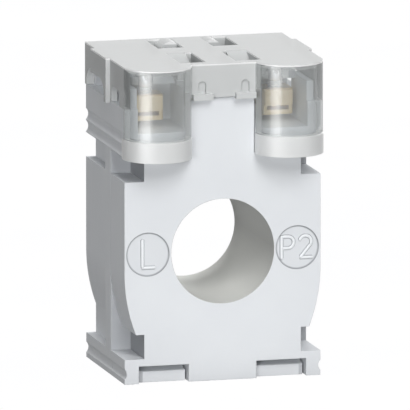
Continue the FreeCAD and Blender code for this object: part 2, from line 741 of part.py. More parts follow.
def make_terminal_cover():
    """One-piece clear hood: towers in front of the terminals, wells with latches on top."""
    skirt_foot = HOOD_TOP - s.well_skirt
    skirts = []
    wells = []
    for side in (-1, 1):
        for front, rear in (FRONT_WELL, REAR_WELL):
            x0, x1 = span(side, s.well_inner - s.well_wall, s.well_inner + s.well_width + s.well_wall)
            skirts.append(box(x0, x1, front - s.well_wall, rear + s.well_wall,
                              skirt_foot, HOOD_TOP - s.hood_wall / 2))
            x0, x1 = span(side, s.well_inner, s.well_inner + s.well_width)
            wells.append(box(x0, x1, front, rear, skirt_foot, HOOD_TOP))
    grips = both_sides(lambda side: box(*span(side, HOOD_SIDE, HOOD_SIDE + s.grip_proud),
                                        FRONT + s.grip_front, FRONT + s.grip_front + s.grip_length,
                                        SHELF - s.grip_drop, HOOD_TOP))
    walled = fuse([hood_shell()] + skirts + grips)
    cutters = wells + both_sides(arch_cutter) + side_cutters(-1) + side_cutters(1)
    opened = cut(walled, cutters)
    return fuse([opened] + both_sides(sloping_latch) + rear_lug(-1) + rear_lug(1), "terminal_cover")


# Terminals

def make_cage(side, label):
    """Brass cage that the screw lifts against the contact bar."""
    half = s.cage_width / 2
    inner = half - s.cage_wall
    front = TERMINAL_Y - half
    rear = TERMINAL_Y + half
    x = side * TERMINAL_X
    roof = CAGE_TOP - s.cage_wall
    block = box(x - half, x + half, front, rear, CAGE_BOTTOM, CAGE_TOP)
    tunnel = box(x - inner, x + inner, front, rear, CAGE_BOTTOM + s.cage_wall, roof)
    thread = post(x, TERMINAL_Y, roof, CAGE_TOP, s.screw_diameter / 2 + s.running_gap)
    doc.recompute()
    rounded = doc.addObject("Part::Fillet", "Rounded")
    rounded.Base = block
    curve = s.cage_round.value
    upright = [number for number, edge in enumerate(block.Shape.Edges, start=1)
               if abs(edge.BoundBox.ZLength - s.cage_height.value) < 1e-6]
    rounded.Edges = [(number, curve, curve) for number in upright]
    return cut(rounded, [tunnel, thread], label)


def make_screw(side, label):
    """Terminal screw, turned about its own axis, with a driver slot."""
    body = new_body(label)
    head = s.screw_head_diameter / 2
    shank = s.screw_diameter / 2
    bevel = s.screw_bevel
    tip = BAR_TOP + s.tip_gap
    under_head = GUIDE_BOTTOM - s.screw_head_drop
    top = under_head + s.screw_head_height
    profile = facing(body, 0)
    outline(profile, [(0, tip), (shank - bevel, tip), (shank, tip + bevel), (shank, under_head),
                      (head, under_head), (head, top - bevel), (head - bevel, top), (0, top)])
    turned = body.newObject("PartDesign::Revolution", "Revolution")
    turned.Profile = profile
    turned.ReferenceAxis = (profile, ["V_Axis"])
    turned.Angle = 360
    driver = lying(body, top)
    rectangle(driver, -head, head, -(s.screw_slot_width / 2), s.screw_slot_width / 2)
    pocket(body, driver, s.screw_slot_depth)
    bind(body, "Placement.Base.x", side * TERMINAL_X)
    bind(body, "Placement.Base.y", TERMINAL_Y)
    return body


def make_contact_bar(side, label):
    """Bent strip from the cage down through the block to the lead, with a wire guard in front."""
    body = new_body(label)
    guard_rear = TERMINAL_Y - s.cage_width / 2 - s.guard_gap
    start = guard_rear - s.guard_thickness
    bottom = BAR_TOP - s.bar_thickness
    inner = s.bar_bend
    outer = inner + s.bar_thickness
    end = DECK - s.bar_leg_reach
    strip = sketch_on(body, "YZ_Plane", side * TERMINAL_X - s.bar_width / 2)
    outline(strip, [(start, bottom), (LEG_FRONT - inner, bottom, -inner), (LEG_FRONT, bottom - inner),
                    (LEG_FRONT, end), (LEG_REAR, end), (LEG_REAR, BAR_TOP - outer, outer),
                    (LEG_REAR - outer, BAR_TOP), (start, BAR_TOP)])
    pad(body, strip, s.bar_width)
    guard = sketch_on(body, "YZ_Plane", side * TERMINAL_X - s.guard_width / 2)
    rectangle(guard, start, guard_rear, bottom, CAGE_TOP - s.guard_drop)
    pad(body, guard, s.guard_width)
    return body


def make_lead(side, label):
    """Insulated lead, straight up from the winding along the rear of the contact bar."""
    body = new_body(label)
    section = lying(body, LEAD_START)
    circle(section, side * TERMINAL_X, LEAD_Y, s.lead_diameter / 2)
    pad(body, section, DECK + s.lead_end - LEAD_START)
    return body


# Wound core

def ring(y0, y1, outer, inner, label="Ring"):
    return cut(drum(0, 0, y0, y1, outer), [drum(0, 0, y0, y1, inner)], label)


def make_core_cup():
    """Insulating channel ring round the core, open at the rear for the lid."""
    lid = CUP_END - s.cup_wall
    channel = ring(CUP_START + s.cup_wall, lid, CORE_OUTER, CORE_INNER)
    return cut(ring(CUP_START, lid, CUP_OUTER, CUP_INNER), [channel], "core_cup")


def make_winding():
    """Copper winding: bundles of turns, each a closed loop round the cup."""
    body = new_body("secondary_winding")
    body.AllowCompound = True
    section = sketch_on(body, "YZ_Plane", -(s.bundle_width / 2))
    rectangle(section, WINDING_START, WINDING_END, WINDING_INNER, WRAP_INNER - s.winding_slack)
    rectangle(section, CUP_START, CUP_END, CUP_INNER - s.winding_slack, CUP_OUTER)
    bundle = pad(body, section, s.bundle_width)
    doc.recompute()
    pattern = body.newObject("PartDesign::PolarPattern", "Pattern")
    pattern.Originals = [bundle]
    pattern.Axis = ([axis for axis in body.Origin.OriginFeatures if axis.Role == "Y_Axis"][0], [""])
    pattern.Angle = 360
    bind(pattern, "Occurrences", s.bundle_count)
    body.Tip = pattern
    return body


def make_pads(y0, y1, label):
    """Four foam pads between the wound core and an end wall."""
    middle = (WINDING_INNER + WRAP_INNER) / 2 / root(as_size(2))
    near = middle - s.pad_width / 2
    far = middle + s.pad_width / 2
    pads = []
    for side in (-1, 1):
        for level in (-1, 1):
            pads.append(box(*span(side, near, far), y0, y1, *span(level, near, far)))
    return fuse(pads, label)


pieces = [
    make_front_shell(),
    make_rear_shell(),
    make_terminal_block(),
    make_terminal_cover(),
    ring(CUP_START + s.cup_wall, CUP_END - s.cup_wall, CORE_OUTER, CORE_INNER, "ring_core"),
    make_core_cup(),
    ring(CUP_END - s.cup_wall, CUP_END, CUP_OUTER, CUP_INNER, "core_lid"),
    make_winding(),
    ring(FRONT + s.wrap_start, FRONT + s.wrap_start + s.wrap_width, WRAP_INNER + s.wrap_thickness, WRAP_INNER,
         "winding_wrap"),
    make_pads(FRONT + s.shell_wall, WINDING_START, "front_pads"),
    make_pads(WINDING_END, REAR - s.shell_wall, "rear_pads"),
]
for side, name in ((-1, "left"), (1, "right")):
    pieces.append(make_cage(side, f"clamp_cage_{name}"))
    pieces.append(make_screw(side, f"terminal_screw_{name}"))
    pieces.append(make_contact_bar(side, f"contact_bar_{name}"))
    pieces.append(make_lead(side, f"lead_{name}"))

doc.recompute()
for thing in doc.Objects:
    if "Invalid" in thing.State or "Error" in thing.State:
        raise RuntimeError(f"{thing.Name} ({thing.Label}) did not build: {thing.State}")
for piece in pieces:
    if piece.Shape.isNull() or not piece.Shape.isValid():
        raise RuntimeError(f"{piece.Label} has no valid shape")

os.makedirs("parts", exist_ok=True)
for piece in pieces:
    piece.Shape.exportStep(f"parts/{piece.Label}.step")
    print(piece.Label, "solids", len(piece.Shape.Solids), "mm3", round(piece.Shape.Volume, 1))
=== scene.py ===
import math

import bpy
import numpy as np
from mathutils import Matrix, Vector


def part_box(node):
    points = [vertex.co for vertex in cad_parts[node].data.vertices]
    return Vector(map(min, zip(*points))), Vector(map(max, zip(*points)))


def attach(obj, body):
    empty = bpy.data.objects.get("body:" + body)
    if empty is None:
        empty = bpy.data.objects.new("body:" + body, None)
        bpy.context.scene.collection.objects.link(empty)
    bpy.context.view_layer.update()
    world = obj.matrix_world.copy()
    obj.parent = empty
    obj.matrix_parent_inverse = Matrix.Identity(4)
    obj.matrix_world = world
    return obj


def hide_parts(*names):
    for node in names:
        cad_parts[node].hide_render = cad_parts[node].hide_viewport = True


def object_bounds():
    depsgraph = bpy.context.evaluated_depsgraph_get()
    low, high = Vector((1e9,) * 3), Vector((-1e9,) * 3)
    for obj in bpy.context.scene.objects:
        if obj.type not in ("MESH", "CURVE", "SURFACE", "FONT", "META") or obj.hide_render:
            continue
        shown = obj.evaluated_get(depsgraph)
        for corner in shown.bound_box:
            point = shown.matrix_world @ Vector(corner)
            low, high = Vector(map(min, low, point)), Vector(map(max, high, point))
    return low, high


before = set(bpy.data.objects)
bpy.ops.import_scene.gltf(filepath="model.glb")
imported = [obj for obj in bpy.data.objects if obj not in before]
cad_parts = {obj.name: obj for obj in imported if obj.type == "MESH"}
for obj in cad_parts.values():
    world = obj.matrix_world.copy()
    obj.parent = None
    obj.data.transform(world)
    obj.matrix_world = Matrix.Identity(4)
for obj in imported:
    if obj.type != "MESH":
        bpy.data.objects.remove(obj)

# Window-type current transformer with a clear hood over two clamp terminals.
# Everything is in metres in the CAD frame: the origin is in the middle of the cable window,
# +X to the right, +Y to the rear, +Z up. Sizes below are in millimetres and turned by MM.

MM = 0.001
cad_box = [list(map(float, corner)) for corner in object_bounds()]

FRONT = -15.0          # front face of the housing
RECESS_FLOOR = -14.75  # floor of the round recess of a mark
SCREW_X = 13.25        # screw axis from the middle
SCREW_Y = -4.6
SCREW_HEAD = 2.6       # height of a screw's head
BAND_TOP = 23.3        # top of the band at the foot of a tower
TOP_FACE = 37.7        # top face of the hood
TOWER_INNER = 6.6      # inner side of a tower
WINDOW_RADIUS = 10.5   # cable window
MARK_X = 15.25         # middle of a mark's round recess, level with the window's axis
MARK_RADIUS = 4.35
NOTCH_FLOOR = 16.0     # bottom of the side notches in the front shell, from the middle
BEND = 0.14            # round on the corners of the grey mouldings
CLEAR_BEND = 0.12      # round on the corners of the hood
METAL_BEND = 0.1       # round on the edges of pressed and turned metal

POLYCARBONATE_INDEX = 1.58   # of refraction
NEARLY_FACING = (0.8, 0.95)  # part of a normal along an axis, from where a face counts as square to it
MIRRORED_SHARE = 0.4         # share of a backdrop's seen brightness that gloss mirrors

# The photograph's camera
VIEW_TURN = 15.017     # degrees to the left
VIEW_RISE = 10.613     # degrees up
PHOTO_WIDTH = 410      # pixels
PIXELS_PER_MM = 5.0527
AIM_HEIGHT = 5.9       # height of the picture's middle, before the two shifts
AIM_RIGHT = 0.392
AIM_UP = 0.588


# Colour, and one way to add a node

def linear(hex_text):
    """sRGB hex to the linear colour that the shaders take."""
    parts = [int(hex_text[i:i + 2], 16) / 255 for i in (1, 3, 5)]
    return tuple(c / 12.92 if c <= 0.04045 else ((c + 0.055) / 1.055) ** 2.4 for c in parts) + (1.0,)


def per_metre(size_mm):
    """Texture scale that gives one feature of this size."""
    return 1000.0 / size_mm


def add(tree, kind, inputs=(), **settings):
    """Adds one node with its settings, and sets or links its inputs."""
    made = tree.nodes.new("ShaderNode" + kind)
    for name, value in settings.items():
        setattr(made, name, value)
    for name, value in dict(inputs).items():
        if isinstance(value, bpy.types.NodeSocket):
            tree.links.new(value, made.inputs[name])
        else:
            made.inputs[name].default_value = value
    return made


def start_material(name):
    """An empty material: its tree, the output node and the Object coordinates."""
    made = bpy.data.materials.new(name)
    made.use_nodes = True
    made.node_tree.nodes.clear()
    output = add(made.node_tree, "OutputMaterial")
    place = add(made.node_tree, "TexCoord").outputs["Object"]
    return made, made.node_tree, output, place


def blend_colours(tree, share, first, second):
    """Colour that runs from first to second as share goes from 0 to 1."""
    return add(tree, "Mix", {0: share, 6: first, 7: second}, data_type="RGBA").outputs[2]


def spread(tree, value, low, high):
    """A 0 to 1 value spread between two numbers."""
    return add(tree, "MapRange", {"Value": value, "To Min": low, "To Max": high}).outputs["Result"]


def ramp(tree, value, start, end):
    """A value turned to a ramp that goes from 0 at start to 1 at end and stays there."""
    return add(tree, "MapRange", {"Value": value, "From Min": start, "From Max": end}).outputs["Result"]


def step_at(tree, value, start, end):
    """The same ramp for a value in metres, with start and end in millimetres."""
    return ramp(tree, value, start * MM, end * MM)


def product(tree, first, *others):
    """Several shares multiplied."""
    for other in others:
        first = add(tree, "Math", {0: first, 1: other}, operation="MULTIPLY").outputs[0]
    return first


def size_of(tree, value):
    """A value without its sign."""
    return add(tree, "Math", {0: value}, operation="ABSOLUTE").outputs[0]


def parts_of(tree, vector):
    """The X, Y and Z of a vector."""
    return add(tree, "SeparateXYZ", {"Vector": vector}).outputs


def radius_in_front_view(tree, place, centre_x):
    """Distance from an axis along Y at X = centre_x or its mirror image, level with the window."""
    split = parts_of(tree, place)
    off_axis = add(tree, "Math", {0: size_of(tree, split["X"]), 1: centre_x * MM}, operation="SUBTRACT")
    flat = add(tree, "CombineXYZ", {"X": off_axis.outputs[0], "Z": split["Z"]})
    return add(tree, "VectorMath", {0: flat.outputs[0]}, operation="LENGTH").outputs["Value"]


def noise(tree, place, feature_mm, detail):
    """A cloudy pattern with features of this size."""
    made = add(tree, "TexNoise", {"Vector": place, "Scale": per_metre(feature_mm), "Detail": detail})
    return made.outputs["Fac"]


def rounded_corners(tree, radius_mm):
    """The normal of a surface whose corners have this round."""
    return add(tree, "Bevel", {"Radius": radius_mm * MM}, samples=4).outputs["Normal"]


def raised(tree, pattern, strength, height_mm, normal=None):
    """The normal of a surface that a pattern lifts by up to this height."""
    inputs = {"Height": pattern, "Strength": strength, "Distance": height_mm * MM}
    if normal is not None:
        inputs["Normal"] = normal
    return add(tree, "Bump", inputs).outputs["Normal"]


def finish_solid(made, tree, output, **inputs):
    """Ends a material with one opaque shader."""
    named = {key.replace("_", " "): value for key, value in inputs.items()}
    shader = add(tree, "BsdfPrincipled", named)
    tree.links.new(shader.outputs["BSDF"], output.inputs["Surface"])
    return made


def housing_polycarbonate(name, main, cloud, window, painted_lit_bottom, painted_shade):
    """Light grey polycarbonate from a spark-eroded mould. Shade is painted into the round recesses of the
    marks:
    a slightly darker floor and a darker line round the edge. The wall of the window is a warmer grey,
    painted darker for the shade inside the window and painted lighter where it faces up, for the light that
    falls on the bottom. The deep faces of the side notches carry painted shade too."""
    made, tree, output, place = start_material(name)
    plain = blend_colours(tree, noise(tree, place, feature_mm=9.0, detail=2.0), linear(main), linear(cloud))
    split = parts_of(tree, place)
    aside = size_of(tree, split["X"])
    facing = parts_of(tree, add(tree, "TexCoord").outputs["Normal"])

    # Painted shade in the round recess of a mark: the floor takes a little of the shade colour, and a line
    # round its edge much more.
    from_mark = radius_in_front_view(tree, place, MARK_X)
    in_recess = product(tree, step_at(tree, from_mark, MARK_RADIUS + 0.12, MARK_RADIUS),
                        step_at(tree, split["Y"], FRONT + 0.6, FRONT + 0.5))
    on_line = step_at(tree, from_mark, MARK_RADIUS - 0.35, MARK_RADIUS - 0.05)
    painted_shade_share = spread(tree, on_line, low=0.07, high=0.87)
    marked = blend_colours(tree, product(tree, painted_shade_share, in_recess), plain, linear(painted_shade))

    # The window's wall: a warmer grey of its own, painted darker for the shade inside the window, and
    # painted lighter where it faces up, for light falling on the bottom.
    from_axis = radius_in_front_view(tree, place, 0.0)
    in_window = step_at(tree, from_axis, WINDOW_RADIUS + 0.06, WINDOW_RADIUS)
    at_bottom = ramp(tree, facing["Z"], 0.0, 0.9)
    window_colour = blend_colours(tree, at_bottom, linear(window), linear(painted_lit_bottom))
    windowed = blend_colours(tree, in_window, marked, window_colour)

    # Painted shade on the deep faces of the side notches: full on their floors, half on the front faces of
    # the ribs behind them.
    on_floor = product(tree, ramp(tree, size_of(tree, facing["X"]), *NEARLY_FACING),
                       step_at(tree, aside, NOTCH_FLOOR - 0.2, NOTCH_FLOOR - 0.1),
                       step_at(tree, aside, NOTCH_FLOOR + 0.2, NOTCH_FLOOR + 0.1))
    rib_share = 0.5
    on_rib = product(tree, ramp(tree, facing["Y"], -NEARLY_FACING[0], -NEARLY_FACING[1]), rib_share,
                     step_at(tree, aside, NOTCH_FLOOR - 0.1, NOTCH_FLOOR),
                     step_at(tree, split["Y"], FRONT + 1.0, FRONT + 1.1))
    in_notch = add(tree, "Math", {0: on_floor, 1: on_rib}, operation="MAXIMUM").outputs[0]
    colour = blend_colours(tree, in_notch, windowed, linear(painted_shade))
    return finish_moulding(made, tree, output, place, colour, grain_mm=0.35, height_mm=0.03, gloss=0.48)


def letter_polycarbonate(name, top, foot):
    """The same plastic on the raised letters: bright on top, with painted shade down the flanks, darker
    towards their foot.
    """
    made, tree, output, place = start_material(name)
    # Painted shade: the flanks run darker from the letters' top down to their foot.
    down = step_at(tree, parts_of(tree, place)["Y"], RECESS_FLOOR - 0.26, RECESS_FLOOR - 0.16)
    colour = blend_colours(tree, down, linear(top), linear(foot))
    return finish_moulding(made, tree, output, place, colour, grain_mm=0.3, height_mm=0.02, gloss=0.42)


def finish_moulding(made, tree, output, place, colour, grain_mm, height_mm, gloss):
    """The face of a moulding: matt, with a fine grain, and corners that catch the light on a small round."""
    grain = noise(tree, place, grain_mm, detail=3.0)
    normal = raised(tree, grain, strength=0.35, height_mm=height_mm, normal=rounded_corners(tree, BEND))
    return finish_solid(made, tree, output, Base_Color=colour, IOR=POLYCARBONATE_INDEX, Normal=normal,
                        Roughness=spread(tree, grain, gloss - 0.06, gloss + 0.06))


def clear_polycarbonate(name, haze, side, band, rim, tint):
    """Clear polycarbonate hood. The towers are polished in the mould: clear, with a bright gloss, so the
    clamps show through. Every other wall is eroded matt and looks like frosted glass, and the proud band
    at the foot of a tower is milky too. Light comes in through the top plate, which is less matt. Its
    upright rim is painted white, a painted highlight, and the side walls are painted a darker grey, a
    painted shade for the gap behind them."""
    made, tree, output, place = start_material(name)
    split = parts_of(tree, place)
    facing = parts_of(tree, add(tree, "TexCoord").outputs["Normal"])
    level = size_of(tree, facing["Z"])
    polish = product(tree, step_at(tree, split["Y"], FRONT, FRONT - 0.4),
                     step_at(tree, split["Z"], BAND_TOP, BAND_TOP + 0.3),
                     step_at(tree, split["Z"], TOP_FACE - 0.25, TOP_FACE - 0.35),
                     step_at(tree, size_of(tree, split["X"]), TOWER_INNER - 0.2, TOWER_INNER))

    waves = noise(tree, place, feature_mm=7.0, detail=1.0)
    waved = raised(tree, waves, strength=0.2, height_mm=0.1, normal=rounded_corners(tree, CLEAR_BEND))
    grain = noise(tree, place, feature_mm=0.4, detail=2.0)
    eroded = spread(tree, polish, low=0.25, high=0.0)
    normal = raised(tree, grain, strength=eroded, height_mm=0.02, normal=waved)

    in_plate = ramp(tree, level, *NEARLY_FACING)
    in_side = ramp(tree, size_of(tree, facing["X"]), *NEARLY_FACING)
    upright = add(tree, "Math", {0: 1.0, 1: level}, operation="SUBTRACT").outputs[0]
    # Painted highlight: the upright rim round the top plate is white.
    in_rim = product(tree, step_at(tree, split["Z"], TOP_FACE - 0.4, TOP_FACE - 0.2), upright)
    in_band = step_at(tree, split["Z"], BAND_TOP + 0.1, BAND_TOP)
    # Painted shade: the side walls take a darker grey.
    walls = blend_colours(tree, in_side, linear(haze), linear(side))
    rimmed = blend_colours(tree, in_rim, walls, linear(rim))
    colour = blend_colours(tree, in_band, rimmed, linear(band))

    slant = add(tree, "LayerWeight", {"Blend": 0.5, "Normal": normal}).outputs["Facing"]
    matt_haze = spread(tree, in_plate, low=0.82, high=0.42)
    face_haze = spread(tree, polish, low=matt_haze, high=0.13)
    edge_haze = spread(tree, polish, low=0.97, high=0.6)
    oblique = add(tree, "Math", {0: slant, 1: 2.0}, operation="POWER").outputs[0]
    milkiness = spread(tree, oblique, low=face_haze, high=edge_haze)
    back = add(tree, "BsdfDiffuse", {"Color": colour, "Normal": normal})
    on = add(tree, "BsdfTranslucent", {"Color": colour, "Normal": normal})
    milk = add(tree, "MixShader", {0: 0.15, 1: back.outputs[0], 2: on.outputs[0]})
    through = add(tree, "BsdfTransparent", {"Color": linear(tint)})
    wall = add(tree, "MixShader", {0: milkiness, 1: through.outputs[0], 2: milk.outputs[0]})

    grazing = add(tree, "Math", {0: slant, 1: 5.0}, operation="POWER").outputs[0]
    shine = add(tree, "BsdfGlossy", {"Color": linear("#FFFFFF"), "Normal": normal,
                                     "Roughness": spread(tree, polish, low=0.42, high=0.26)})
    gloss = spread(tree, grazing, low=0.05, high=1.0)
    mixed = add(tree, "MixShader", {0: gloss, 1: wall.outputs[0], 2: shine.outputs[0]})
    tree.links.new(mixed.outputs["Shader"], output.inputs["Surface"])
    return made


def rolled_metal(name, main, shade, line_mm, stretch, roughness):
    """Rolled or turned metal: fine lines along one way, which stretch the highlights across them."""
    made, tree, output, place = start_material(name)
    stretched = add(tree, "Mapping", {"Vector": place, "Scale": stretch}).outputs["Vector"]
    lines = noise(tree, stretched, line_mm, detail=4.0)
    patches = noise(tree, place, feature_mm=2.5, detail=2.0)
    colour = blend_colours(tree, patches, linear(main), linear(shade))
    normal = raised(tree, lines, strength=0.4, height_mm=0.004, normal=rounded_corners(tree, METAL_BEND))
    return finish_solid(made, tree, output, Base_Color=colour, Metallic=1.0, Normal=normal,
                        Roughness=spread(tree, lines, roughness - 0.07, roughness + 0.07))


def plain_insulation(name, main, cloud, grain_mm, height_mm, gloss, ior=1.5):
    """Insulating polymer such as film, foam or enamel: its own grain size and gloss."""
    made, tree, output, place = start_material(name)
    grain = noise(tree, place, grain_mm, detail=4.0)
    colour = blend_colours(tree, grain, linear(main), linear(cloud))
    return finish_solid(made, tree, output, Base_Color=colour, IOR=ior,
                        Roughness=spread(tree, grain, gloss - 0.08, gloss + 0.08),
                        Normal=raised(tree, grain, strength=0.5, height_mm=height_mm))


def wound_steel(name, edge, gap, ring_mm):
    """Silicon steel strip wound edge on: thin grey rings round the window, each of a few turns. The ring
    pattern turns by 20 radians in a unit at scale 1."""
    made, tree, output, place = start_material(name)
    scale = per_metre(ring_mm) * 2 * math.pi / 20
    rings = add(tree, "TexWave", {"Vector": place, "Scale": scale, "Distortion": 0.4, "Detail": 1.0},
                wave_type="RINGS", rings_direction="Y").outputs["Fac"]
    colour = blend_colours(tree, rings, linear(gap), linear(edge))
    return finish_solid(made, tree, output, Base_Color=colour, Metallic=1.0,
                        Roughness=spread(tree, rings, low=0.32, high=0.5),
                        Normal=raised(tree, rings, strength=0.6, height_mm=0.03))


# Painted shade and light in the housing: the last colour is painted shade for the marks' recesses and the
# side notches, and the window's wall is painted darker, and lighter where it faces up. On the letters, the
# foot colour is painted shade on the flanks.
housing_plastic = housing_polycarbonate("moulded_polycarbonate_light_grey", main="#DDE0E3", cloud="#D6D9DD",
                                        window="#AFB0AE", painted_lit_bottom="#EAEBE7", painted_shade="#8C8F94")
mark_plastic = letter_polycarbonate("moulded_polycarbonate_letter", top="#E6E9EC", foot="#A3A6AA")
# On the hood, the side colour is painted shade and the white rim is a painted highlight.
clear_plastic = clear_polycarbonate("clear_polycarbonate", haze="#D7D9D9", side="#9DA0A0", band="#E6E7E7",
                                    rim="#FFFFFF", tint="#F9FAFA")
# Brass is pale yellow and bright. Zinc plating is a cool, even grey.
brass = rolled_metal("pressed_brass", "#F3DEB4", "#E9CF9F",
                     line_mm=0.25, stretch=(6.0, 6.0, 1.0), roughness=0.30)
zinc_steel = rolled_metal("zinc_plated_steel", "#C9CCCE", "#B4B8BC",
                          line_mm=0.3, stretch=(1.0, 1.0, 8.0), roughness=0.32)
bar_brass = rolled_metal("brass_strip", "#F5E2BC", "#ECD4A8",
                         line_mm=0.3, stretch=(8.0, 1.0, 8.0), roughness=0.34)
core_steel = wound_steel("silicon_steel_strip", edge="#9A9DA1", gap="#5E6166", ring_mm=1.885)
# Enamel is red-brown and glossy. Film tape is amber and glossier still. Moulded nylon is black and satin,
# foam is dark grey, matt and coarse, and a silicone sleeve is a dull red.
enamelled_copper = plain_insulation("enamelled_copper_wire", "#A4501F", "#7E3614",
                                    grain_mm=0.35, height_mm=0.05, gloss=0.28, ior=1.6)
film_tape = plain_insulation("polyester_film_tape", "#D8B24A", "#CDA238",
                             grain_mm=1.2, height_mm=0.02, gloss=0.24, ior=1.6)
cup_nylon = plain_insulation("black_nylon", "#242528", "#303236", grain_mm=0.5, height_mm=0.03, gloss=0.45)
foam = plain_insulation("closed_cell_foam", "#3A3B3E", "#56585C", grain_mm=0.45, height_mm=0.2, gloss=0.85)
lead_sleeve = plain_insulation("silicone_lead_sleeve", "#B4291E", "#9F2118",
                               grain_mm=0.6, height_mm=0.02, gloss=0.4)

FINISH = {
    "front_shell": housing_plastic, "rear_shell": housing_plastic, "terminal_block": housing_plastic,
    "terminal_cover": clear_plastic, "ring_core": core_steel, "core_cup": cup_nylon, "core_lid": cup_nylon,
    "secondary_winding": enamelled_copper, "winding_wrap": film_tape, "front_pads": foam, "rear_pads": foam,
    "clamp_cage_left": brass, "clamp_cage_right": brass,
    "contact_bar_left": bar_brass, "contact_bar_right": bar_brass,
    "terminal_screw_left": zinc_steel, "terminal_screw_right": zinc_steel,
    "lead_left": lead_sleeve, "lead_right": lead_sleeve,
}
for node_name, finish in FINISH.items():
    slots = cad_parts[node_name].data.materials
    slots.clear()
    slots.append(finish)


# Surfaces from grids

def ring_faces(rows, columns):
    """Quads between neighbouring points of a grid, row by row, where each row closes on itself."""
    row, column = [a.ravel() for a in np.meshgrid(np.arange(rows - 1), np.arange(columns), indexing="ij")]
    start = row * columns
    below = start + columns
    right = (column + 1) % columns
    return np.stack([start + column, start + right, below + right, below + column], 1).tolist()


def end_caps(rows, columns):
    """Faces over the first and the last row of such a grid."""
    last = (rows - 1) * columns
    return [list(range(columns))[::-1], list(range(last, last + columns))]


def full_turn(count):
    """Angles of this many points evenly round a circle."""
    return np.arange(count) * 2 * math.pi / count


def make_piece(name, points_mm, faces, material, body):
    """Puts points in millimetres and faces into a smooth mesh that rides on a body."""
    mesh = bpy.data.meshes.new(name)
    mesh.from_pydata((np.asarray(points_mm) * MM).tolist(), [], faces)
    mesh.polygons.foreach_set("use_smooth", np.full(len(mesh.polygons), True))
    mesh.materials.append(material)
    mesh.update()
    piece = bpy.data.objects.new(name, mesh)
    bpy.context.scene.collection.objects.link(piece)
    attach(piece, body)
    return piece


def join_grids(parts):
    """Several (points, faces) pairs as one."""
    points, faces, start = [], [], 0
    for part_points, part_faces in parts:
        points.append(part_points)
        faces += [[i + start for i in face] for face in part_faces]
        start += len(part_points)
    return np.concatenate(points), faces


# Marks beside the cable window

def stroke(path, taper=0.18):
    """One raised stroke of a letter: a rib profile carried along a path on the front face.
    Its half width narrows from 0.42 at the foot to 0.21 at the top, with rounded shoulders, and over the
    taper's length both ends narrow in a quarter circle. Side points lie at path + side * normal, out
    along -Y."""
    path = np.asarray(path, float)
    steps = np.gradient(path, axis=0)
    steps /= np.linalg.norm(steps, axis=1)[:, None]
    normal = np.stack([-steps[:, 1], steps[:, 0]], 1)
    side = np.array([-0.42, -0.36, -0.27, -0.21, -0.10, 0.10, 0.21, 0.27, 0.36, 0.42])
    out = np.array([-0.05, 0.08, 0.22, 0.28, 0.31, 0.31, 0.28, 0.22, 0.08, -0.05])
    length = np.concatenate([[0], np.cumsum(np.linalg.norm(np.diff(path, axis=0), axis=1))])
    from_end = np.minimum(length, length[-1] - length)
    narrow = np.sqrt(np.clip(1 - (1 - np.clip(from_end / taper, 0, 1)) ** 2, 1e-4, 1))
    x = path[:, :1] + normal[:, :1] * side * narrow[:, None]
    z = path[:, 1:] + normal[:, 1:] * side * narrow[:, None]
    y = np.broadcast_to(RECESS_FLOOR - out, x.shape)
    points = np.stack([x, y, z], 2).reshape(-1, 3)
    faces = [face[::-1] for face in ring_faces(*x.shape)]
    return points, faces + end_caps(*x.shape)


def joined_path(*legs):
    """Legs of a letter as one line of points, without the doubled points where they meet."""
    points = np.concatenate(legs)
    keep = np.concatenate([[True], np.linalg.norm(np.diff(points, axis=0), axis=1) > 1e-6])
    return points[keep]


def straight(a, b, count=14):
    """Points from a to b, closer together near both ends."""
    t = (1 - np.cos(np.linspace(0, math.pi, count))) / 2
    return np.asarray(a) + t[:, None] * (np.asarray(b) - np.asarray(a))


def arc(centre, radius, start, end, count=22):
    """Points of a circle's arc; angles in degrees from +X towards +Z."""
    t = np.radians(np.linspace(start, end, count))
    return np.stack([centre[0] + radius * np.cos(t), centre[1] + radius * np.sin(t)], 1)


# X and Z of the letters, as the photograph shows them
L_STEM, L_TOP, L_FOOT = -16.32, 3.1, -2.65
P_STEM, P_TOP, P_FOOT = 12.08, 2.45, -2.35
BOWL_X, BOWL_Z, BOWL_RADIUS = 13.4, 1.05, 1.15
HOOK_X, HOOK_Z, HOOK_RADIUS = 16.95, 1.05, 1.2
TWO_FOOT = -2.1

left_mark = join_grids([
    stroke(straight((L_STEM, L_TOP), (L_STEM, L_FOOT))),
    stroke(straight((-16.55, L_FOOT), (-13.65, L_FOOT))),
])
make_piece("mark_l", *left_mark, mark_plastic, "housing")

right_mark = join_grids([
    stroke(straight((P_STEM, P_TOP), (P_STEM, P_FOOT))),
    stroke(joined_path(straight((P_STEM, BOWL_Z + BOWL_RADIUS), (BOWL_X, BOWL_Z + BOWL_RADIUS)),
                       arc((BOWL_X, BOWL_Z), BOWL_RADIUS, 90, -90),
                       straight((BOWL_X, BOWL_Z - BOWL_RADIUS), (P_STEM, BOWL_Z - BOWL_RADIUS)))),
    stroke(joined_path(arc((HOOK_X, HOOK_Z), HOOK_RADIUS, 172, -28),
                       straight((18.01, 0.49), (15.85, TWO_FOOT)))),
    stroke(straight((15.72, TWO_FOOT), (18.45, TWO_FOOT))),
])
make_piece("mark_p2", *right_mark, mark_plastic, "housing")


# Terminal screws with their real thread

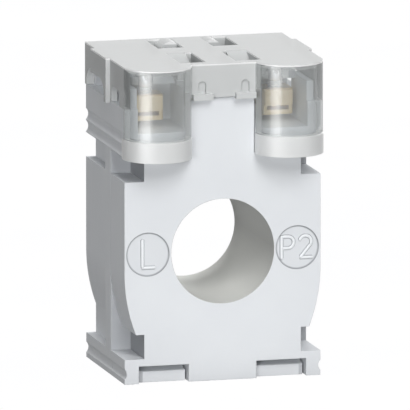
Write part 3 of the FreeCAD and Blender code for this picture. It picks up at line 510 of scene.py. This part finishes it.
def threaded_shank(x, y, low, high, pitch=0.5, crest=1.49, root=1.19, point=0.25, around=48, rows=10):
    """M3 thread as a height field on a cylinder: radius = root + (crest - root) * tooth, where tooth is
    a flattened triangle wave of (height / pitch - angle / turn), and fades out at the tip, which ends in
    a small point. Each pitch has this many rows of points."""
    angle = full_turn(around)
    z = np.linspace(low, high, int((high - low) / pitch * rows) + 1)
    phase = (z[:, None] / pitch - angle / (2 * math.pi)) % 1.0
    tooth = np.clip(1.25 - 2.5 * np.abs(phase - 0.5), 0, 1)
    fade = np.clip((z - low) / (0.8 * pitch), 0, 1)[:, None]
    radius = root + (crest - root) * tooth * fade
    radius[0] = root - point
    points = np.stack([x + radius * np.cos(angle), y + radius * np.sin(angle),
                       np.broadcast_to(z[:, None], radius.shape)], 2).reshape(-1, 3)
    return points, ring_faces(*radius.shape) + end_caps(*radius.shape)


def slotted_head(x, y, low, high, radius=1.8, half_slot=0.35, depth=1.2, bevel=0.3, edge=0.03, around=96):
    """Cheese head: rings of a round profile, then the top as a height field over rings and angles.
    A point of the top within the slot's half width lies the slot's depth lower, and the slot's wall
    slopes over the edge's width."""
    angle = full_turn(around)
    floor = high - depth
    side = [(radius - 0.05, low), (radius, low + 0.05), (radius, floor), (radius, high - bevel),
            (radius - 0.12, high - 0.1), (radius - bevel, high)]
    top = [(r, high) for r in np.linspace(radius - bevel - 0.02, 0.02, 26)]
    r, z = np.array(side + top).T[:, :, None]
    in_slot = np.clip((half_slot + edge - np.abs(r * np.cos(angle))) / edge, 0, 1)
    z = np.where(z > floor, z - (z - floor) * in_slot, z)
    points = np.stack([x + r * np.cos(angle), y + r * np.sin(angle), z], 2).reshape(-1, 3)
    return points, ring_faces(*z.shape) + end_caps(*z.shape)


screw_low, screw_high = [corner.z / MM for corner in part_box("terminal_screw_left")]
head_low = screw_high - SCREW_HEAD
neck = 0.05  # how far the shank goes on inside the head
for side_name, side_x in (("left", -SCREW_X), ("right", SCREW_X)):
    node_name = "terminal_screw_" + side_name
    points, faces = join_grids([
        threaded_shank(side_x, SCREW_Y, screw_low, head_low + neck),
        slotted_head(side_x, SCREW_Y, head_low, screw_high),
    ])
    screw = make_piece("clamp_screw_" + side_name, points, faces, zinc_steel, "screw_" + side_name)
    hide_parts(node_name)


# Floor, light and camera

def share_seen(tree):
    """1 where the camera looks straight at a backdrop, less where it is mirrored, 0 where it only lights."""
    path = add(tree, "LightPath").outputs
    return add(tree, "Math", {0: path["Is Glossy Ray"], 1: MIRRORED_SHARE, 2: path["Is Camera Ray"]},
               operation="MULTIPLY_ADD").outputs[0]


def pale_floor(card_y, card_radius, seen, around=96):
    """A flat round floor, level with the foot of the case: rings of points round the middle. It is seen
    white, and throws back less light than that, apart from a pale card that lies before the case."""
    base = cad_box[0][2]
    angle = full_turn(around)
    radii = np.array([0.15, 0.6, 2.0, 9.0])[:, None]
    x, y = radii * np.cos(angle), radii * np.sin(angle)
    points = np.stack([x, y, np.full_like(x, base)], 2).reshape(-1, 3)
    faces = [face[::-1] for face in ring_faces(len(radii), around)] + [list(range(around))]

    made, tree, output, place = start_material("white_paper")
    grain = noise(tree, place, feature_mm=40.0, detail=2.0)
    colour = blend_colours(tree, grain, linear("#FAFAFA"), linear("#F7F7F8"))
    plain = blend_colours(tree, grain, linear("#6C6C6C"), linear("#666666"))
    from_card = add(tree, "VectorMath", {0: place, 1: (0.0, card_y, base)}, operation="DISTANCE")
    on_card = ramp(tree, from_card.outputs["Value"], card_radius * 1.2, card_radius)
    bounce = blend_colours(tree, on_card, plain, linear("#C4C4C4"))
    lit = add(tree, "BsdfDiffuse", {"Color": bounce})
    bright = add(tree, "Emission", {"Color": colour, "Strength": seen})
    mixed = add(tree, "MixShader", {0: share_seen(tree), 1: lit.outputs[0], 2: bright.outputs[0]})
    tree.links.new(mixed.outputs["Shader"], output.inputs["Surface"])

    mesh = bpy.data.meshes.new("floor")
    mesh.from_pydata(points.tolist(), [], faces)
    mesh.materials.append(made)
    floor = bpy.data.objects.new("floor", mesh)
    bpy.context.scene.collection.objects.link(floor)


def softbox(name, direction, width, height, strength, distance=2.0):
    """Soft light that looks at the object. strength is the brightness that it gives a white sheet
    facing it, so its power is strength * pi * pi * distance^2."""
    lamp = bpy.data.lights.new(name, "AREA")
    lamp.shape = "RECTANGLE"
    lamp.size = width
    lamp.size_y = height
    lamp.energy = strength * math.pi ** 2 * distance ** 2
    holder = bpy.data.objects.new(name, lamp)
    away = Vector(direction).normalized()
    turned = away.to_track_quat("Z", "Y").to_matrix().to_4x4()
    holder.matrix_world = Matrix.Translation(away * distance) @ turned
    holder.visible_camera = False
    bpy.context.scene.collection.objects.link(holder)
    return holder


def surrounding(light, seen):
    """Even light from all round. The camera sees it white, and gloss mirrors something in between."""
    world = bpy.data.worlds.new("studio")
    world.use_nodes = True
    tree = world.node_tree
    tree.nodes.clear()
    lit = add(tree, "Background", {"Color": linear("#FFFFFF"), "Strength": light})
    shown = add(tree, "Background", {"Color": linear("#FFFFFF"), "Strength": seen})
    mixed = add(tree, "MixShader", {0: share_seen(tree), 1: lit.outputs[0], 2: shown.outputs[0]})
    add(tree, "OutputWorld", {"Surface": mixed.outputs[0]})
    bpy.context.scene.world = world


def long_lens_camera():
    """Camera at the photograph's angle, and so far off that the picture is nearly free of perspective."""
    turn, rise = math.radians(VIEW_TURN), math.radians(VIEW_RISE)
    view = Vector((math.cos(rise) * math.sin(turn), math.cos(rise) * math.cos(turn), -math.sin(rise)))
    right = Vector((math.cos(turn), -math.sin(turn), 0.0))
    up = right.cross(view)
    lens = bpy.data.cameras.new("long_lens")
    lens.sensor_width = 36.0
    lens.lens = 1500.0
    lens.clip_end = 50.0
    distance = PHOTO_WIDTH * lens.lens / (lens.sensor_width * PIXELS_PER_MM) * MM
    aim = (Vector((0.0, 0.0, AIM_HEIGHT)) + AIM_RIGHT * right + AIM_UP * up) * MM
    camera = bpy.data.objects.new("camera", lens)
    turned = Matrix((right, up, -view)).transposed().to_4x4()
    camera.matrix_world = Matrix.Translation(aim - view * distance) @ turned
    bpy.context.scene.collection.objects.link(camera)
    bpy.context.scene.camera = camera


pale_floor(card_y=-0.075, card_radius=0.05, seen=1.06)
softbox("key_softbox", (0.04, -0.80, 0.68), width=1.0, height=1.0, strength=0.63)
softbox("low_softbox", (-0.55, -1.0, 0.12), width=0.9, height=0.5, strength=0.40)
softbox("overhead_softbox", (0.0, 0.15, 1.0), width=0.7, height=0.7, strength=0.42)
softbox("back_softbox", (0.80, 0.65, 0.28), width=1.0, height=1.0, strength=0.62)
streak = softbox("streak_softbox", (-0.81, -0.59, 0.14), width=0.13, height=0.11, strength=0.75,
                 distance=0.2)
streak.visible_diffuse = False  # only gloss sees it: the bright line down each tower
surrounding(light=0.18, seen=1.0)
long_lens_camera()
bpy.context.scene.view_settings.view_transform = "Standard"
